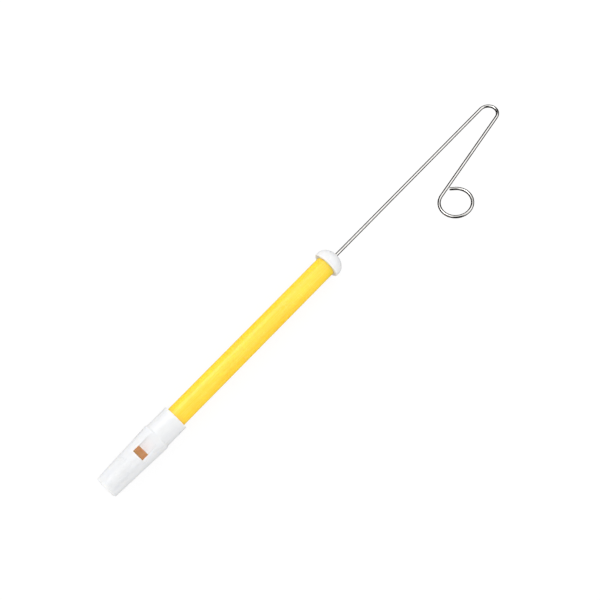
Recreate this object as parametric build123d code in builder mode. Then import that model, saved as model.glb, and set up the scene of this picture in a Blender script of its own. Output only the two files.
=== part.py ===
"""Slide whistle: a yellow plastic tube with a white fipple mouthpiece and a white domed end cap,
and a bent steel wire that draws a felt piston along the tube to change the pitch.

Frame, in millimetres: the origin is on the tube's axis in the plane of the mouth end, +X runs along
the tube towards the end cap, and +Z is the side of the window. The slide stands fully out.
"""

from build123d import *
import math
import os

os.makedirs("parts", exist_ok=True)

# ---------------------------------------------------------------- driving dimensions
# tube
tube_outer_d = 16.0
tube_wall = 1.0
tube_visible = 156.3            # between the mouthpiece's rim and the cap's rim

# mouthpiece: a cone that widens from the lips to a shoulder, then a plain socket for the tube
mouthpiece_length = 67.8
socket_wall = 2.25
shoulder_x = 48.6
shoulder_height = 0.75          # how far the cone's wide end stands out from the socket
shoulder_run = 1.3              # length over which the shoulder steps down to the socket
cone_narrowing = 2.15           # on the radius, from the shoulder to the mouth end
mouth_end_rounding = 1.0
shoulder_rounding = 0.6
rim_rounding = 0.5
socket_lead_in = 0.3            # chamfer inside the rim, where the tube goes in

# beak: the hollow bevel under the mouth end
beak_thickness = 12.2           # at the mouth end, from the top down to the bevel
beak_length = 33.0
beak_hollow_radius = 95.0
beak_edge_rounding = 0.6

# windway, window and labium
windway_width = 9.3
windway_corner_wall = 0.55      # between the windway's upper corners and the outside, at the lips
windway_height_mouth = 1.9
windway_height_exit = 1.2
windway_drop = 1.0              # how far the windway's floor lies under the labium's edge
window_start = 30.6
window_length = 5.5
labium_edge_thickness = 0.3
ramp_end_depth = 0.05           # how far the ramp's end lies under the top of the socket

# windway block: a stepped plug
block_nose_wall = 2.05          # mouthpiece wall around the plug's nose, at the lips
block_step_x = 20.0

# notch in the tube under the window
notch_side_clearance = 0.5
notch_beyond_window = 8.0

# end cap
cap_overhang = 3.1              # how far the cap's rim stands out from the tube
cap_band = 2.6                  # straight rim before the dome starts
cap_dome_height = 8.6
cap_socket_depth = 6.5
cap_rim_rounding = 0.5
cap_exit_rounding = 0.3         # around the wire at the top of the dome

# slide wire
wire_d = 2.5
rod_beyond_cap = 168.0          # straight wire between the cap's top and the U-bend
u_bend_turn = 170.8
return_leg = 82.1
finger_ring_d = 22.3            # inside the ring
ring_turn = 303.0
ring_tail = 4.2
wire_end_chamfer = 0.25         # on the cut end, inside the ring
handle_angle = 25.0             # the handle's plane above the horizontal, towards the window

# piston on the inner end of the wire
packing_length = 8.0
washer_thickness = 0.8
head_overlap = 0.85             # the peened head beyond the wire, on the radius
head_thickness = 1.0
head_rounding = 0.4
washer_rounding = 0.15
collar_wall = 1.25
collar_length = 2.0
collar_chamfer = 0.25

# clearances
piston_clearance = 0.08         # felt in the tube, on the radius
washer_clearance = 0.4          # washers in the tube, on the radius
wire_clearance = 0.08           # wire in the cap and in the piston, on the radius
end_play = 0.1                  # between the piston and the wire's head or collar
stop_gap = 0.4                  # between the collar and the cap with the slide fully out
leg_clearance = 2.37            # between the cap's rim and the return leg with the slide in

# ---------------------------------------------------------------- derived sizes
tube_r = tube_outer_d / 2
bore_r = tube_r - tube_wall
wire_r = wire_d / 2
running_bore_r = wire_r + wire_clearance

socket_r = tube_r + socket_wall
shoulder_r = socket_r + shoulder_height
mouth_end_r = shoulder_r - cone_narrowing
block_nose_r = mouth_end_r - block_nose_wall
above = 2 * shoulder_r          # safely outside every outer surface

# heights above the tube's axis
labium_edge_z = tube_r + labium_edge_thickness
ramp_end_z = socket_r - ramp_end_depth
windway_floor_exit_z = labium_edge_z - windway_drop
windway_roof_exit_z = windway_floor_exit_z + windway_height_exit
windway_roof_mouth_z = math.sqrt((mouth_end_r - windway_corner_wall) ** 2 - (windway_width / 2) ** 2)
windway_floor_mouth_z = windway_roof_mouth_z - windway_height_mouth

cap_r = tube_r + cap_overhang
u_bend_radius = (cap_r + leg_clearance + wire_r) / 2
ring_radius = finger_ring_d / 2 + wire_r

# ---------------------------------------------------------------- derived places along the tube
window_end = window_start + window_length
ramp_end = shoulder_x + shoulder_run
cap_start = mouthpiece_length + tube_visible
tube_end = cap_start + cap_socket_depth
dome_start = cap_start + cap_band
cap_top = dome_start + cap_dome_height

collar_start = tube_end - stop_gap - collar_length
rear_washer_start = collar_start - end_play - washer_thickness
packing_start = rear_washer_start - packing_length
front_washer_start = packing_start - washer_thickness
head_start = front_washer_start - end_play - head_thickness
u_bend_start = cap_top + rod_beyond_cap


def cut_slab(points, width):
    """Cut away a closed outline in the XZ plane, to the given width across the tube's axis."""
    with BuildSketch(Plane.XZ) as profile:
        with BuildLine():
            Polyline(*points, close=True)
        make_face()
    extrude(profile.sketch, amount=width / 2, both=True, mode=Mode.SUBTRACT)


def cut_beak():
    """Cut away everything below the hollow bevel under the mouth end."""
    lip = (0, mouth_end_r - beak_thickness)
    heel = (beak_length, -shoulder_r)
    with BuildSketch(Plane.XZ) as profile:
        with BuildLine():
            bevel = RadiusArc(lip, heel, beak_hollow_radius)
            Polyline(bevel @ 1, (beak_length, -above), (-1, -above), (-1, lip[1]), bevel @ 0)
        make_face()
    extrude(profile.sketch, amount=above, both=True, mode=Mode.SUBTRACT)


def bored_disc(start, length, radius, bore):
    """Add a disc with a hole on the tube's axis."""
    with BuildSketch(Plane.YZ.offset(start)) as ring_face:
        Circle(radius)
        Circle(bore, mode=Mode.SUBTRACT)
    extrude(ring_face.sketch, amount=length)


def outer_rims(piece, radius):
    """The circular edges of a piece at the given radius around the tube's axis."""
    return piece.edges().filter_by(GeomType.CIRCLE).filter_by(lambda rim: abs(rim.radius - radius) < 1e-4)


# ---------------------------------------------------------------- mouthpiece body
with BuildPart() as mouthpiece_body:
    with BuildSketch(Plane.XZ) as outline:
        with BuildLine():
            Polyline(
                (0, 0),
                (0, mouth_end_r),
                (shoulder_x, shoulder_r),
                (ramp_end, socket_r),
                (mouthpiece_length, socket_r),
                (mouthpiece_length, 0),
                close=True,
            )
        make_face()
        # a sketch's own height axis is Y
        fillet(outline.vertices().sort_by(Axis.Y)[-1], shoulder_rounding)
        fillet(outline.vertices().group_by(Axis.X)[-1].sort_by(Axis.Y)[-1], rim_rounding)
        fillet(outline.vertices().group_by(Axis.X)[0].sort_by(Axis.Y)[-1], mouth_end_rounding)
    revolve(axis=Axis.X)

    cut_beak()

    # seats of the windway block's nose, and of its rear end and the tube
    with BuildSketch(Plane.YZ):
        Circle(block_nose_r)
    extrude(amount=block_step_x, mode=Mode.SUBTRACT)
    with BuildSketch(Plane.YZ.offset(block_step_x)):
        Circle(tube_r)
    extrude(amount=mouthpiece_length - block_step_x, mode=Mode.SUBTRACT)

    # windway, open at the mouth end
    cut_slab(
        [
            (0, windway_floor_mouth_z),
            (window_start, windway_floor_exit_z),
            (window_start, windway_roof_exit_z),
            (0, windway_roof_mouth_z),
        ],
        windway_width,
    )
    # window, down into the bore
    cut_slab(
        [(window_start, 0), (window_end, 0), (window_end, above), (window_start, above)],
        windway_width,
    )
    # ramp that rises from the labium's edge to the shoulder
    cut_slab(
        [
            (window_end, labium_edge_z),
            (ramp_end, ramp_end_z),
            (ramp_end, above),
            (window_end, above),
        ],
        windway_width,
    )

    # lead-in for the tube
    socket_mouth = mouthpiece_body.edges().group_by(Axis.X)[-1].filter_by(GeomType.CIRCLE)
    chamfer(socket_mouth.sort_by(SortBy.RADIUS)[0], socket_lead_in)
    # eased edge around the bevel, where the lips close on it
    bevel_rim = mouthpiece_body.edges().filter_by(GeomType.BSPLINE).sort_by(SortBy.LENGTH)[-1]
    fillet(bevel_rim, beak_edge_rounding)

# ---------------------------------------------------------------- windway block
with BuildPart() as windway_block:
    with BuildSketch(Plane.YZ):
        Circle(block_nose_r)
    extrude(amount=block_step_x)
    with BuildSketch(Plane.YZ.offset(block_step_x)):
        Circle(tube_r)
    extrude(amount=window_start - block_step_x)
    cut_beak()
    cut_slab(
        [
            (0, windway_floor_mouth_z),
            (window_start, windway_floor_exit_z),
            (window_start, above),
            (0, above),
        ],
        2 * above,
    )

# ---------------------------------------------------------------- barrel tube
with BuildPart() as barrel_tube:
    bored_disc(window_start, tube_end - window_start, tube_r, bore_r)
    cut_slab(
        [
            (window_start, 0),
            (window_end + notch_beyond_window, 0),
            (window_end + notch_beyond_window, above),
            (window_start, above),
        ],
        windway_width + 2 * notch_side_clearance,
    )

# ---------------------------------------------------------------- end cap
with BuildPart() as end_cap:
    with BuildSketch(Plane.XZ) as cap_outline:
        with BuildLine():
            exit_angle = math.degrees(math.asin(running_bore_r / cap_r))
            dome = EllipticalCenterArc(
                (dome_start, 0), cap_dome_height, cap_r, start_angle=exit_angle, arc_size=90 - exit_angle
            )
            Polyline(
                dome @ 1,
                (cap_start, cap_r),
                (cap_start, tube_r),
                (tube_end, tube_r),
                (tube_end, running_bore_r),
                dome @ 0,
            )
        make_face()
        rim_corner = cap_outline.vertices().group_by(Axis.X)[0].sort_by(Axis.Y)[-1]
        fillet(rim_corner, cap_rim_rounding)
        exit_corner = cap_outline.vertices().group_by(Axis.X)[-1]
        fillet(exit_corner, cap_exit_rounding)
    revolve(axis=Axis.X)

# ---------------------------------------------------------------- slide wire
# local x of the handle's plane runs along the tube's axis, and local y out to the ring
tilt = math.radians(handle_angle)
handle_plane = Plane(
    origin=(0, 0, 0), x_dir=(1, 0, 0), z_dir=(0, -math.sin(tilt), -math.cos(tilt))
)
with BuildPart() as slide_wire:
    with BuildLine(handle_plane) as route:
        rod = Line((head_start, 0), (u_bend_start, 0))
        u_bend = JernArc(rod @ 1, rod % 1, u_bend_radius, u_bend_turn)
        leg = PolarLine(u_bend @ 1, return_leg, direction=u_bend % 1)
        ring = JernArc(leg @ 1, leg % 1, ring_radius, -ring_turn)
        tail = PolarLine(ring @ 1, ring_tail, direction=ring % 1)
    with BuildSketch(Plane.YZ.offset(head_start)):
        Circle(wire_r)
    sweep()
    cut_end = slide_wire.faces().filter_by(GeomType.PLANE).sort_by_distance(tail @ 1)[0]
    chamfer(cut_end.edges(), wire_end_chamfer)
    # peened head that holds the piston on the wire
    with BuildSketch(Plane.YZ.offset(head_start)):
        Circle(wire_r + head_overlap)
    extrude(amount=head_thickness)
    fillet(outer_rims(slide_wire, wire_r + head_overlap), head_rounding)

# ---------------------------------------------------------------- piston
with BuildPart() as front_washer:
    bored_disc(front_washer_start, washer_thickness, bore_r - washer_clearance, running_bore_r)
    fillet(outer_rims(front_washer, bore_r - washer_clearance), washer_rounding)

with BuildPart() as felt_packing:
    bored_disc(packing_start, packing_length, bore_r - piston_clearance, running_bore_r)

with BuildPart() as rear_washer:
    bored_disc(rear_washer_start, washer_thickness, bore_r - washer_clearance, running_bore_r)
    fillet(outer_rims(rear_washer, bore_r - washer_clearance), washer_rounding)

with BuildPart() as crimp_collar:
    bored_disc(collar_start, collar_length, wire_r + collar_wall, wire_r)
    chamfer(outer_rims(crimp_collar, wire_r + collar_wall), collar_chamfer)

# ---------------------------------------------------------------- labels and files
pieces = {
    "mouthpiece_body": mouthpiece_body,
    "windway_block": windway_block,
    "barrel_tube": barrel_tube,
    "end_cap": end_cap,
    "slide_wire": slide_wire,
    "front_washer": front_washer,
    "felt_packing": felt_packing,
    "rear_washer": rear_washer,
    "crimp_collar": crimp_collar,
}
for name, piece in pieces.items():
    piece.part.label = name
    export_step(piece.part, f"parts/{name}.step")
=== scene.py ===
"""Slide whistle: looks, floor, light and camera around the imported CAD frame. Metres.

The frame's origin is on the tube's axis at the mouth end, +X runs towards the end cap and +Z is the
side of the window. Straight after loading, every node sits in that frame with its object at the
origin, so a material's object coordinates are the frame's coordinates.
"""

import math
from collections import namedtuple

import bmesh
import bpy
from mathutils import Matrix, Vector


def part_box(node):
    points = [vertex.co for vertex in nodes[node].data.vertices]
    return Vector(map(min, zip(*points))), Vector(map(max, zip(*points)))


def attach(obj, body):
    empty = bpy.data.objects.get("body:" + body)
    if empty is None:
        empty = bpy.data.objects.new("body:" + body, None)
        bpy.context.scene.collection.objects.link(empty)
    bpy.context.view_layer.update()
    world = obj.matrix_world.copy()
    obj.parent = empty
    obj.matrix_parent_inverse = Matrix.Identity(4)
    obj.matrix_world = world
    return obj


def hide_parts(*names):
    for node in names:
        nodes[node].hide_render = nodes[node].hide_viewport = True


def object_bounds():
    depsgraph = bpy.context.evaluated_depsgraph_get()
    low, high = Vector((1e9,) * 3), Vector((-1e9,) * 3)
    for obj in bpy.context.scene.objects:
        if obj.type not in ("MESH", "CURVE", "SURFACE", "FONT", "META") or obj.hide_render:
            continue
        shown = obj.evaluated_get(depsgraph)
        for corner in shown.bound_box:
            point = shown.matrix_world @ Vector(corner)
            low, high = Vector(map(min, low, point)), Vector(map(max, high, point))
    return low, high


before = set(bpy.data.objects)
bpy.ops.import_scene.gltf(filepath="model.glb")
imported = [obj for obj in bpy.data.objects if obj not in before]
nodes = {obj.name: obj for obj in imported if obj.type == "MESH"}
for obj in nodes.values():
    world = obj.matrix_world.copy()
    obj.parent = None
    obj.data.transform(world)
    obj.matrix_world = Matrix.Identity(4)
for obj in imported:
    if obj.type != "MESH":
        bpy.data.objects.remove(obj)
cad_low, cad_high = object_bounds()

MM = 0.001

# ---------------------------------------------------------------- places, from the frame
mouthpiece_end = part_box("mouthpiece_body")[1][0]
cap_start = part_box("end_cap")[0][0]
cap_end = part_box("end_cap")[1][0]
tube_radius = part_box("barrel_tube")[1][1]
felt_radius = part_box("felt_packing")[1][1]
wire_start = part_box("slide_wire")[0][0]
wire_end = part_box("slide_wire")[1][0]

# ---------------------------------------------------------------- slide wire, as it is bent
WIRE_RADIUS = 1.25 * MM
HEAD_RADIUS = 2.1 * MM
HEAD_THICKNESS = 1.0 * MM
U_BEND_RADIUS = 7.36 * MM
U_BEND_TURN = math.radians(170.8)
RETURN_LEG = 82.1 * MM
FINGER_RING_RADIUS = 12.4 * MM
RING_TURN = math.radians(-303)
RING_TAIL = 4.2 * MM
HANDLE_ANGLE = math.radians(25)
WIRE_END_CHAMFER = 0.25 * MM

# the peened head from its face on: share of its thickness, share of its radius
HEAD_PROFILE = (
    (0.0, 0.78), (0.06, 0.9), (0.2, 0.985), (0.42, 1.0),
    (0.66, 0.995), (0.86, 0.93), (0.97, 0.8), (1.0, 0.66),
)
# the cut end: share of the chamfer still to go, share of the wire's radius
CUT_PROFILE = ((1.0, 1.0), (0.62, 0.965), (0.28, 0.885), (0.06, 0.8), (0.0, 0.76))

# how finely the wire is divided
WIRE_SIDES = 40
LEG_STEP = 3 * MM
TAIL_STEP = 0.9 * MM
BEND_STEP = math.radians(3)

# ---------------------------------------------------------------- colours
PLASTIC_WHITE = (0.712, 0.718, 0.727)
BLOCK_WHITE = (0.70, 0.71, 0.715)
SCUFF_GREY = (0.45, 0.44, 0.42)

YELLOW = (0.93, 0.585, 0.040)
LIGHTER_YELLOW = (0.95, 0.625, 0.050)
SCUFFED_YELLOW = (0.98, 0.78, 0.25)
# darker orange, used near the mouthpiece and the cap
DARKER_YELLOW_AT_JOINS = (0.8, 0.47, 0.03)
# painted light: the bore's paler orange stands in for light that soaks through the tube's thin wall
PAINTED_LIGHT_BORE_ORANGE = (0.96, 0.68, 0.42)
LIGHTER_PAINTED_LIGHT_BORE = (0.98, 0.74, 0.48)
# painted light: the colour of the bore's glow, a stand-in for light through the wall
PAINTED_BORE_GLOW = (0.62, 0.33, 0.18, 1)

NICKEL = (0.80, 0.785, 0.76)
RUBBED_NICKEL = (0.70, 0.685, 0.66)
PIT_BROWN = (0.30, 0.27, 0.24)
ZINC = (0.56, 0.57, 0.58)
LIGHTER_ZINC = (0.68, 0.69, 0.70)
WOOL = (0.40, 0.37, 0.32)
LIGHTER_WOOL = (0.62, 0.58, 0.50)
WOOL_FIBRE = (0.74, 0.71, 0.64)
GREASY_WOOL = (0.24, 0.20, 0.14)
BRASS = (0.78, 0.56, 0.24)
TARNISHED_BRASS = (0.48, 0.31, 0.12)

PAPER = (0.84, 0.84, 0.84)
LIGHTER_PAPER = (0.86, 0.86, 0.86)
PAPER_IN_REFLECTIONS = (0.02, 0.02, 0.02)
PAPER_FOR_THE_LENS = (0.13, 0.13, 0.13)
WHITE = (1, 1, 1, 1)


# ---------------------------------------------------------------- shader nodes
class NodeTree:
    """Short calls that add a node to a tree and return its output socket."""

    def __init__(self, tree):
        self.tree = tree

    def plug(self, socket, value):
        if isinstance(value, bpy.types.NodeSocket):
            self.tree.links.new(value, socket)
        else:
            socket.default_value = value

    def coordinates(self, kind):
        return self.tree.nodes.new("ShaderNodeTexCoord").outputs[kind]

    def ray_is(self, kind):
        """1 for camera or glossy rays, and 0 for the others."""
        return self.tree.nodes.new("ShaderNodeLightPath").outputs[f"Is {kind} Ray"]

    def math(self, operation, a, b=0.0, c=0.0, clamp=False):
        made = self.tree.nodes.new("ShaderNodeMath")
        made.operation = operation
        made.use_clamp = clamp
        for socket, value in zip(made.inputs, (a, b, c)):
            self.plug(socket, value)
        return made.outputs[0]

    def times(self, a, b):
        return self.math("MULTIPLY", a, b)

    def larger(self, a, b):
        return self.math("MAXIMUM", a, b)

    def scaled(self, value, factor, offset, clamp=False):
        return self.math("MULTIPLY_ADD", value, factor, offset, clamp)

    def vector_math(self, operation, a, b=(0, 0, 0), output="Vector"):
        made = self.tree.nodes.new("ShaderNodeVectorMath")
        made.operation = operation
        self.plug(made.inputs[0], a)
        self.plug(made.inputs[1], b)
        return made.outputs[output]

    def split(self, vector):
        made = self.tree.nodes.new("ShaderNodeSeparateXYZ")
        self.plug(made.inputs[0], vector)
        return made.outputs["X"], made.outputs["Y"], made.outputs["Z"]

    def ramp(self, value, low, high, out_low=0.0, out_high=1.0):
        """A smooth step from out_low at low to out_high at high."""
        made = self.tree.nodes.new("ShaderNodeMapRange")
        made.interpolation_type = "SMOOTHSTEP"
        made.inputs["From Min"].default_value = low
        made.inputs["From Max"].default_value = high
        made.inputs["To Min"].default_value = out_low
        made.inputs["To Max"].default_value = out_high
        self.plug(made.inputs["Value"], value)
        return made.outputs[0]

    def choose(self, factor, a, b):
        """The number a where the factor is 0, and b where it is 1."""
        made = self.tree.nodes.new("ShaderNodeMix")
        factor_socket, _, a_socket, b_socket = made.inputs[:4]
        for socket, value in ((factor_socket, factor), (a_socket, a), (b_socket, b)):
            self.plug(socket, value)
        return made.outputs[0]

    def mix(self, factor, a, b):
        """The colour a where the factor is 0, and b where it is 1."""
        made = self.tree.nodes.new("ShaderNodeMix")
        made.data_type = "RGBA"
        self.plug(made.inputs["Factor"], factor)
        for name, colour in (("A", a), ("B", b)):
            self.plug(made.inputs[name], colour if isinstance(colour, bpy.types.NodeSocket) else (*colour, 1))
        return made.outputs["Result"]


class Shader(NodeTree):
    """The node tree of a new material with one surface."""

    def __init__(self, name):
        self.material = bpy.data.materials.new(name)
        self.material.use_nodes = True
        super().__init__(self.material.node_tree)
        self.surface = self.tree.nodes["Principled BSDF"]

    def set(self, **values):
        """Sets the surface's own sockets; an underscore in a name stands for a space."""
        for name, value in values.items():
            self.plug(self.surface.inputs[name.replace("_", " ")], value)

    def place(self, stretch=(1, 1, 1), turn=(0, 0, 0)):
        """Frame coordinates, stretched so that a pattern runs along an axis."""
        return self.mapped(self.coordinates("Object"), stretch, turn)

    def mapped(self, vector, stretch, turn=(0, 0, 0)):
        mapping = self.tree.nodes.new("ShaderNodeMapping")
        self.plug(mapping.inputs["Vector"], vector)
        mapping.inputs["Scale"].default_value = stretch
        mapping.inputs["Rotation"].default_value = turn
        return mapping.outputs["Vector"]

    def attribute(self, name, output="Vector"):
        reader = self.tree.nodes.new("ShaderNodeAttribute")
        reader.attribute_name = name
        return reader.outputs[output]

    def axis_distance(self):
        """Distance from the tube's axis."""
        _, y, z = self.split(self.place())
        return self.math("SQRT", self.math("ADD", self.times(y, y), self.times(z, z)))

    def noise(self, vector, scale, detail=2.0, roughness=0.5, distortion=0.0):
        made = self.tree.nodes.new("ShaderNodeTexNoise")
        self.plug(made.inputs["Vector"], vector)
        made.inputs["Scale"].default_value = scale
        made.inputs["Detail"].default_value = detail
        made.inputs["Roughness"].default_value = roughness
        made.inputs["Distortion"].default_value = distortion
        return made.outputs[0]

    def near(self, value, centre, width):
        """1 where the value is at the centre, falling to 0 a width away on either side."""
        distance = self.math("ABSOLUTE", self.math("SUBTRACT", value, centre))
        return self.ramp(distance, 0, width, 1, 0)

    def hairlines(self, vector, scale, width):
        """Thin curved lines, where a slow noise crosses its middle."""
        slow = self.noise(vector, scale, detail=3.0, roughness=0.6, distortion=0.4)
        return self.near(slow, 0.5, width)

    def bump(self, *layers):
        """Adds up heights, each given as a 0 to 1 socket and its height in metres where that is 1."""
        total = 0.0
        for height, depth in layers:
            total = self.scaled(height, depth, total)
        made = self.tree.nodes.new("ShaderNodeBump")
        made.inputs["Distance"].default_value = 1.0
        self.plug(made.inputs["Height"], total)
        self.plug(self.surface.inputs["Normal"], made.outputs["Normal"])


# ---------------------------------------------------------------- materials
def moulded_white(name, colour, seam_plane=None, wear_places=()):
    """Injection-moulded polystyrene: faint flow mottling, fine mould grain, scuffs and handled edges.

    A mould seam runs where Z is seam_plane. Each wear place is an X along the whistle and its reach.
    """
    shader = Shader(name)
    place = shader.place()
    x, _, z = shader.split(place)
    flow = shader.noise(shader.place((1, 2.5, 2.5)), scale=70, detail=3, roughness=0.55)
    grain = shader.noise(place, scale=5200, roughness=0.6)
    peel = shader.noise(place, scale=750)
    patches = shader.ramp(shader.noise(place, scale=120), 0.45, 0.62)

    scuffs = shader.hairlines(shader.place((0.5, 1.2, 1), (0.3, 0.5, 0.2)), scale=210, width=0.006)
    fine_scuffs = shader.hairlines(shader.place((1.1, 0.35, 1), (0.7, 0.1, 1.1)), scale=420, width=0.009)
    marks = shader.times(shader.larger(scuffs, shader.times(fine_scuffs, 0.5)), patches)
    wear = shader.times(patches, 0.15)
    for along, reach in wear_places:
        wear = shader.larger(wear, shader.near(x, along, reach))
    wear = shader.times(wear, shader.ramp(shader.noise(place, scale=900, detail=3), 0.35, 0.6))

    shade = shader.ramp(flow, 0.3, 0.7)
    dim = tuple(0.968 * channel for channel in colour)
    yellowed = tuple(share * channel for share, channel in zip((0.97, 0.955, 0.915), colour))
    base = shader.mix(shade, dim, colour)
    base = shader.mix(shader.times(wear, 0.55), base, yellowed)
    base = shader.mix(shader.times(marks, 0.12), base, SCUFF_GREY)
    rough = shader.scaled(shade, 0.06, 0.26)
    rough = shader.scaled(wear, 0.16, rough)
    rough = shader.scaled(marks, 0.25, rough, clamp=True)
    shader.set(Base_Color=base, Roughness=rough)

    layers = [(grain, 2.0e-6), (peel, 4e-6), (marks, -5e-6)]
    if seam_plane is not None:
        layers.append((shader.near(z, seam_plane, 0.09 * MM), 2.2e-5))
    shader.bump(*layers)
    shader.set(Subsurface_Weight=0.8, Subsurface_Scale=3.0 * MM, Subsurface_Radius=(1.0, 0.95, 0.85))
    shader.set(IOR=1.52)
    return shader.material


def extruded_yellow():
    """Extruded tube: die lines along its length, faint colour drift, scuffs, and an orange bore of painted
    light.
    """
    shader = Shader("yellow_extrusion")
    place = shader.place()
    x, _, _ = shader.split(place)
    die_lines = shader.noise(shader.place((0.02, 1, 1)), scale=2600, roughness=0.65)
    drift = shader.ramp(shader.noise(shader.place((0.25, 1, 1)), scale=130, detail=3), 0.3, 0.7)
    peel = shader.noise(place, scale=640)
    grain = shader.noise(place, scale=4800)
    patches = shader.ramp(shader.noise(place, scale=65), 0.42, 0.66)

    long_scuffs = shader.hairlines(shader.place((0.16, 1, 1), (0.1, 0.05, 0.08)), scale=260, width=0.008)
    cross_scuffs = shader.hairlines(shader.place((1, 0.25, 0.3), (0.2, 0.3, 0.5)), scale=190, width=0.005)
    marks = shader.times(shader.larger(long_scuffs, cross_scuffs), patches)
    # darker orange and rougher within a few millimetres of the mouthpiece and the cap, broken up by noise
    at_mouthpiece = shader.near(x, mouthpiece_end, 2.4 * MM)
    at_cap = shader.near(x, cap_start, 3.0 * MM)
    at_joins = shader.ramp(shader.noise(place, scale=1100, detail=3), 0.4, 0.6)
    at_joins = shader.times(shader.larger(at_mouthpiece, at_cap), at_joins)

    # the bore's painted light takes over within the thickness of the wall: a paler orange that stands in for
    # light soaking through it
    inside = shader.ramp(shader.axis_distance(), tube_radius - 0.75 * MM, tube_radius - 0.35 * MM, 1, 0)
    outer = shader.mix(drift, YELLOW, LIGHTER_YELLOW)
    outer = shader.mix(shader.times(marks, 0.3), outer, SCUFFED_YELLOW)
    outer = shader.mix(shader.times(at_joins, 0.35), outer, DARKER_YELLOW_AT_JOINS)
    bore = shader.mix(drift, PAINTED_LIGHT_BORE_ORANGE, LIGHTER_PAINTED_LIGHT_BORE)
    rough = shader.scaled(die_lines, 0.10, 0.22)
    rough = shader.scaled(at_joins, 0.12, rough)
    rough = shader.scaled(marks, 0.2, rough, clamp=True)
    shader.set(Base_Color=shader.mix(inside, outer, bore), Roughness=rough)

    # painted light: the bore glows a little, standing in for light that soaks through the thin wall
    shader.set(Emission_Color=PAINTED_BORE_GLOW, Emission_Strength=shader.times(inside, 0.24))
    shader.bump((die_lines, 3.2e-6), (peel, 3e-6), (grain, 0.8e-6), (marks, -4e-6))
    shader.set(Subsurface_Weight=0.6, Subsurface_Scale=3.0 * MM, Subsurface_Radius=(1.0, 0.45, 0.12))
    shader.set(IOR=1.5)
    return shader.material


def plated_wire():
    """Nickel-plated drawn steel: lines along the wire, dulled bends, rubbed and pitted places."""
    shader = Shader("plated_wire")
    straightened = shader.attribute("straightened")
    bend = shader.attribute("bend", "Fac")
    drawn = shader.noise(shader.mapped(straightened, (0.03, 1, 1)), scale=5200, roughness=0.7)
    cloud = shader.noise(shader.mapped(straightened, (0.5, 1, 1)), scale=420, detail=3, roughness=0.6)
    pits = shader.ramp(shader.noise(straightened, scale=3600, roughness=0.7), 0.66, 0.74)
    crazing = shader.near(shader.noise(shader.mapped(straightened, (6, 1, 1)), scale=900), 0.5, 0.03)
    crazing = shader.times(crazing, bend)
    rubbed = shader.ramp(cloud, 0.48, 0.66)
    plating = shader.mix(rubbed, NICKEL, RUBBED_NICKEL)
    plating = shader.mix(shader.times(pits, 0.5), plating, PIT_BROWN)
    rough = shader.scaled(rubbed, 0.07, 0.05)
    rough = shader.scaled(bend, 0.04, rough)
    rough = shader.scaled(pits, 0.3, rough, clamp=True)
    shader.set(Base_Color=plating, Metallic=1.0, Roughness=rough)
    shader.bump((drawn, 2.4e-6), (pits, -6e-6), (crazing, -2e-6))
    return shader.material


def stamped_steel():
    """Zinc-plated washer: concentric turning marks and spangle."""
    shader = Shader("stamped_steel")
    spangle = shader.noise(shader.place(), scale=900, roughness=0.6)
    groove_phase = shader.times(shader.axis_distance(), 42000)
    grooves = shader.scaled(shader.math("SINE", groove_phase), 0.5, 0.5)
    shader.set(
        Base_Color=shader.mix(shader.ramp(spangle, 0.35, 0.65), ZINC, LIGHTER_ZINC),
        Metallic=1.0,
        Roughness=shader.scaled(spangle, 0.25, 0.2),
    )
    shader.bump((grooves, 1.5e-6), (spangle, 4e-6))
    return shader.material


def pressed_felt():
    """Wool felt soaked with a little grease: matted fibres, dark at the rubbed rim."""
    shader = Shader("pressed_felt")
    place = shader.place()
    fibres = shader.hairlines(place, scale=900, width=0.05)
    cross_fibres = shader.hairlines(shader.place((1, 1, 1), (1.1, 0.6, 0.4)), scale=1300, width=0.06)
    matted = shader.larger(fibres, cross_fibres)
    clump = shader.noise(place, scale=420, detail=3, roughness=0.6)
    rim = shader.ramp(shader.axis_distance(), felt_radius - 1.2 * MM, felt_radius)
    wool = shader.mix(clump, WOOL, LIGHTER_WOOL)
    wool = shader.mix(shader.times(matted, 0.4), wool, WOOL_FIBRE)
    wool = shader.mix(shader.times(rim, 0.45), wool, GREASY_WOOL)
    shader.set(Base_Color=wool, Roughness=shader.scaled(matted, 0.1, 0.85))
    shader.bump((matted, 6e-5), (clump, 1.2e-4))
    shader.set(Sheen_Weight=0.4, Sheen_Roughness=0.5)
    return shader.material


def turned_brass():
    """Brass crimp: tool lines around it, brown tarnish in the low places."""
    shader = Shader("turned_brass")
    tool_lines = shader.noise(shader.place((1, 0.05, 0.05)), scale=6000, roughness=0.6)
    tarnish = shader.ramp(shader.noise(shader.place(), scale=700, detail=3, roughness=0.6), 0.4, 0.62)
    shader.set(
        Base_Color=shader.mix(tarnish, BRASS, TARNISHED_BRASS),
        Metallic=1.0,
        Roughness=shader.scaled(tarnish, 0.25, 0.22),
    )
    shader.bump((tool_lines, 3e-6), (tarnish, -3e-6))
    return shader.material


def dress(node, material):
    """Gives a carried-over CAD node its material."""
    surfaces = nodes[node].data.materials
    surfaces.clear()
    surfaces.append(material)


# ---------------------------------------------------------------- wire mesh
# a station on the wire: the distance along it, the place in the handle's plane, the heading there as
# an angle from +X, and how bent the wire is, from 0 to 1
Station = namedtuple("Station", "distance place heading bend")


def ahead(heading):
    return Vector((math.cos(heading), math.sin(heading)))


def leftward(heading):
    return Vector((-math.sin(heading), math.cos(heading)))


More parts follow.
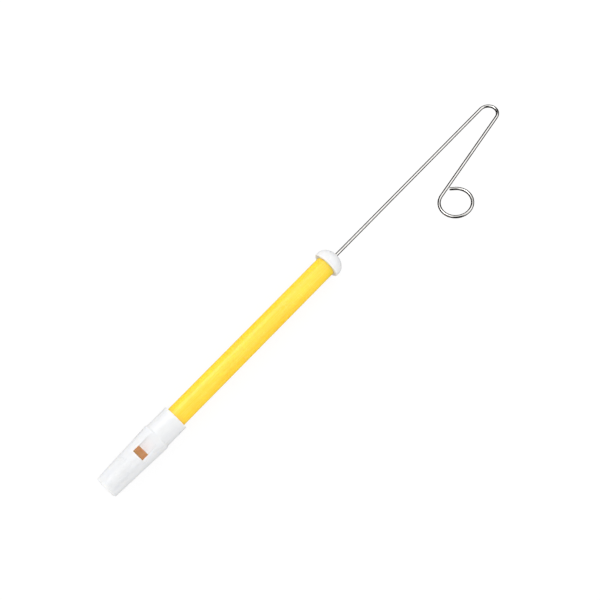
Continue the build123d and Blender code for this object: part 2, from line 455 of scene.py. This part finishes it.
def wire_route():
    """Stations from the head's face to the end of the tail."""
    stations = []
    here = Vector((wire_start, 0))
    heading = 0.0
    distance = 0.0

    def straight(length, step):
        nonlocal here, distance
        count = max(1, round(length / step))
        for _ in range(count):
            stations.append(Station(distance, here.copy(), heading, 0.0))
            here = here + ahead(heading) * (length / count)
            distance += length / count

    def arc(radius, turn):
        nonlocal here, heading, distance
        side = math.copysign(1, turn)
        centre = here + leftward(heading) * radius * side
        count = max(1, round(abs(turn) / BEND_STEP))
        first = heading
        for i in range(count):
            heading = first + turn * i / count
            here = centre - leftward(heading) * radius * side
            # the bend counts in full along most of the arc and fades out at its ends
            bend = math.sin(math.pi * (i + 0.5) / count) ** 0.3
            stations.append(Station(distance, here.copy(), heading, bend))
            distance += radius * abs(turn) / count
        heading = first + turn
        here = centre - leftward(heading) * radius * side

    straight(wire_end - U_BEND_RADIUS - WIRE_RADIUS - wire_start, LEG_STEP)
    arc(U_BEND_RADIUS, U_BEND_TURN)
    straight(RETURN_LEG, LEG_STEP)
    arc(FINGER_RING_RADIUS, RING_TURN)
    straight(RING_TAIL, TAIL_STEP)
    stations.append(Station(distance, here.copy(), heading, 0.0))
    return stations


def wire_rings():
    """Pairs of a station and the radius there: the peened head, the wire, and its chamfered cut end."""
    stations = wire_route()
    end = stations[-1]
    rings = []
    for share, size in HEAD_PROFILE:
        along = share * HEAD_THICKNESS
        rings.append((Station(along, Vector((wire_start + along, 0)), 0.0, 0.0), size * HEAD_RADIUS))
    last_full = end.distance - 1.5 * WIRE_END_CHAMFER
    for station in stations:
        if HEAD_THICKNESS < station.distance < last_full:
            rings.append((station, WIRE_RADIUS))
    for share, size in CUT_PROFILE:
        back = share * WIRE_END_CHAMFER
        place = end.place - ahead(end.heading) * back
        rings.append((Station(end.distance - back, place, end.heading, 0.0), size * WIRE_RADIUS))
    return rings


def build_wire():
    """The bent wire with its peened head and cut end, as one closed surface.

    Two attributes go with it for its material: straightened, where a point would be if the wire were
    straight, and bend.
    """
    along = Vector((1, 0, 0))
    out = Vector((0, -math.cos(HANDLE_ANGLE), math.sin(HANDLE_ANGLE)))
    normal = along.cross(out)
    build = bmesh.new()
    straightened = build.verts.layers.float_vector.new("straightened")
    bent = build.verts.layers.float.new("bend")

    def centre_of(station):
        return along * station.place.x + out * station.place.y

    def loop_around(station, radius):
        across = out * math.cos(station.heading) - along * math.sin(station.heading)
        loop = []
        for i in range(WIRE_SIDES):
            angle = 2 * math.pi * i / WIRE_SIDES
            sideways, upward = radius * math.cos(angle), radius * math.sin(angle)
            vertex = build.verts.new(centre_of(station) + across * sideways + normal * upward)
            vertex[straightened] = Vector((station.distance, sideways, upward))
            vertex[bent] = station.bend
            loop.append(vertex)
        return loop

    def close_end(loop, station):
        middle = build.verts.new(centre_of(station))
        middle[straightened] = Vector((station.distance, 0, 0))
        for one, two in zip(loop, loop[1:] + loop[:1]):
            build.faces.new((middle, one, two))

    rings = wire_rings()
    loops = [loop_around(station, radius) for station, radius in rings]
    for loop, following in zip(loops, loops[1:]):
        for i in range(WIRE_SIDES):
            j = (i + 1) % WIRE_SIDES
            face = build.faces.new((loop[i], following[i], following[j], loop[j]))
            face.smooth = True
    close_end(loops[0], rings[0][0])
    close_end(loops[-1], rings[-1][0])
    bmesh.ops.recalc_face_normals(build, faces=build.faces)

    mesh = bpy.data.meshes.new("wire")
    build.to_mesh(mesh)
    build.free()
    wire = bpy.data.objects.new("bent_wire", mesh)
    bpy.context.scene.collection.objects.link(wire)
    return wire


# ---------------------------------------------------------------- pieces and materials
dress("mouthpiece_body", moulded_white(
    "mouthpiece_white", PLASTIC_WHITE, seam_plane=0.0,
    wear_places=((0.0, 3.5 * MM), (mouthpiece_end, 1.2 * MM)),
))
dress("windway_block", moulded_white("block_white", BLOCK_WHITE))
dress("end_cap", moulded_white(
    "cap_white", PLASTIC_WHITE,
    wear_places=((cap_start, 1.0 * MM), (cap_end, 1.0 * MM)),
))
dress("barrel_tube", extruded_yellow())
steel = stamped_steel()
dress("front_washer", steel)
dress("rear_washer", steel)
dress("felt_packing", pressed_felt())
dress("crimp_collar", turned_brass())

wire = build_wire()
wire.data.materials.append(plated_wire())
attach(wire, "slide")
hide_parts("slide_wire")


# ---------------------------------------------------------------- camera
def aim_camera():
    """Looks down on the whistle from above, a little from the mouth end, turned so that it lies slantwise."""
    tilt = math.radians(12.15)
    roll = math.radians(45.415)
    target = Vector((0.1916, -0.0043, 0))
    distance = 0.6647
    back = Vector((-math.sin(tilt), 0, math.cos(tilt)))
    across = Vector((0, 1, 0))
    along = across.cross(back)
    right = along * math.cos(roll) - across * math.sin(roll)
    up = back.cross(right)
    camera = bpy.data.objects.new("camera", bpy.data.cameras.new("camera"))
    bpy.context.scene.collection.objects.link(camera)
    camera.data.sensor_width = 36
    camera.data.lens = 54
    stand = Matrix((right, up, back)).transposed().to_4x4()
    stand.translation = target + back * distance
    camera.matrix_world = stand
    bpy.context.scene.camera = camera


# ---------------------------------------------------------------- floor and light
def lay_floor():
    """A sheet of white paper, lit from behind, that touches the lowest point of the CAD."""
    shader = Shader("studio_floor")
    paper = shader.mix(shader.noise(shader.place(), scale=3), PAPER, LIGHTER_PAPER)
    # in reflections the sheet is darker, as if it ended close to the object
    paper = shader.mix(shader.ray_is("Glossy"), paper, PAPER_IN_REFLECTIONS)
    # the lens sees nearly all of the sheet's own light, so that shadows on it stay faint
    seen = shader.ray_is("Camera")
    paper = shader.mix(seen, paper, PAPER_FOR_THE_LENS)
    shader.set(Base_Color=paper, Roughness=0.9, Specular_IOR_Level=0.0)
    shader.set(Emission_Color=WHITE, Emission_Strength=shader.times(seen, 0.86))
    mesh = bpy.data.meshes.new("floor")
    reach = 3.0
    height = cad_low[2]
    corners = [(x * reach, y * reach, height) for x, y in ((-1, -1), (1, -1), (1, 1), (-1, 1))]
    mesh.from_pydata(corners, [], [(0, 1, 2, 3)])
    floor = bpy.data.objects.new("floor", mesh)
    bpy.context.scene.collection.objects.link(floor)
    mesh.materials.append(shader.material)


def dark_within(room, cosine, inner, outer):
    """Nearly 0 inside the inner angle in degrees, and 1 outside the outer one."""
    return room.ramp(cosine, math.cos(math.radians(outer)), math.cos(math.radians(inner)), 1.0, 0.01)


def light_room():
    """A white tent overhead, a dark band above the horizon, and a dark gap where the photographer stands."""
    world = bpy.data.worlds.new("studio")
    bpy.context.scene.world = world
    world.use_nodes = True
    # the room is met by the rays that leave each surface, so only reflections see its walls
    world.cycles.sampling_method = "NONE"
    room = NodeTree(world.node_tree)
    direction = room.coordinates("Generated")
    _, y, z = room.split(direction)
    tent = room.ramp(z, 0.54, 0.68, 0.0, 1.3)
    wall = room.ramp(y, -0.25, 0.25, 0.05, 0.0)

    # the camera looks through a round opening in the tent, and the gap below it runs down to the floor
    opening = Vector((-0.35, -0.2, 0.91)).normalized()
    to_opening = room.vector_math("DOT_PRODUCT", direction, opening, "Value")
    hole = dark_within(room, to_opening, inner=23, outer=29)
    gap_side = math.radians(218)
    level = room.vector_math("MULTIPLY", direction, (1, 1, 0))
    level = room.vector_math("NORMALIZE", level)
    to_gap = room.vector_math("DOT_PRODUCT", level, (math.cos(gap_side), math.sin(gap_side), 0), "Value")
    gap = dark_within(room, to_gap, inner=20, outer=30)
    walls = room.times(room.times(room.larger(tent, wall), hole), gap)

    # the walls show only in reflections; the room's soft light is even
    background = world.node_tree.nodes["Background"]
    background.inputs["Color"].default_value = WHITE
    room.plug(background.inputs["Strength"], room.choose(room.ray_is("Glossy"), 1.25, walls))


def hang_key():
    """One large soft lamp, high on the +Y side and aimed at the tube."""
    key = bpy.data.lights.new("key", "AREA")
    key.shape = "RECTANGLE"
    key.size = 0.8
    key.size_y = 0.5
    key.energy = 3.0
    lamp = bpy.data.objects.new("key", key)
    bpy.context.scene.collection.objects.link(lamp)
    aim = Vector((0.15, 0, 0))
    distance = 1.2
    elevation = math.radians(40)
    lamp.location = aim + Vector((0, math.cos(elevation), math.sin(elevation))) * distance
    lamp.rotation_euler = (aim - lamp.location).to_track_quat("-Z", "Y").to_euler()


aim_camera()
lay_floor()
light_room()
hang_key()
bpy.context.scene.view_settings.view_transform = "Standard"
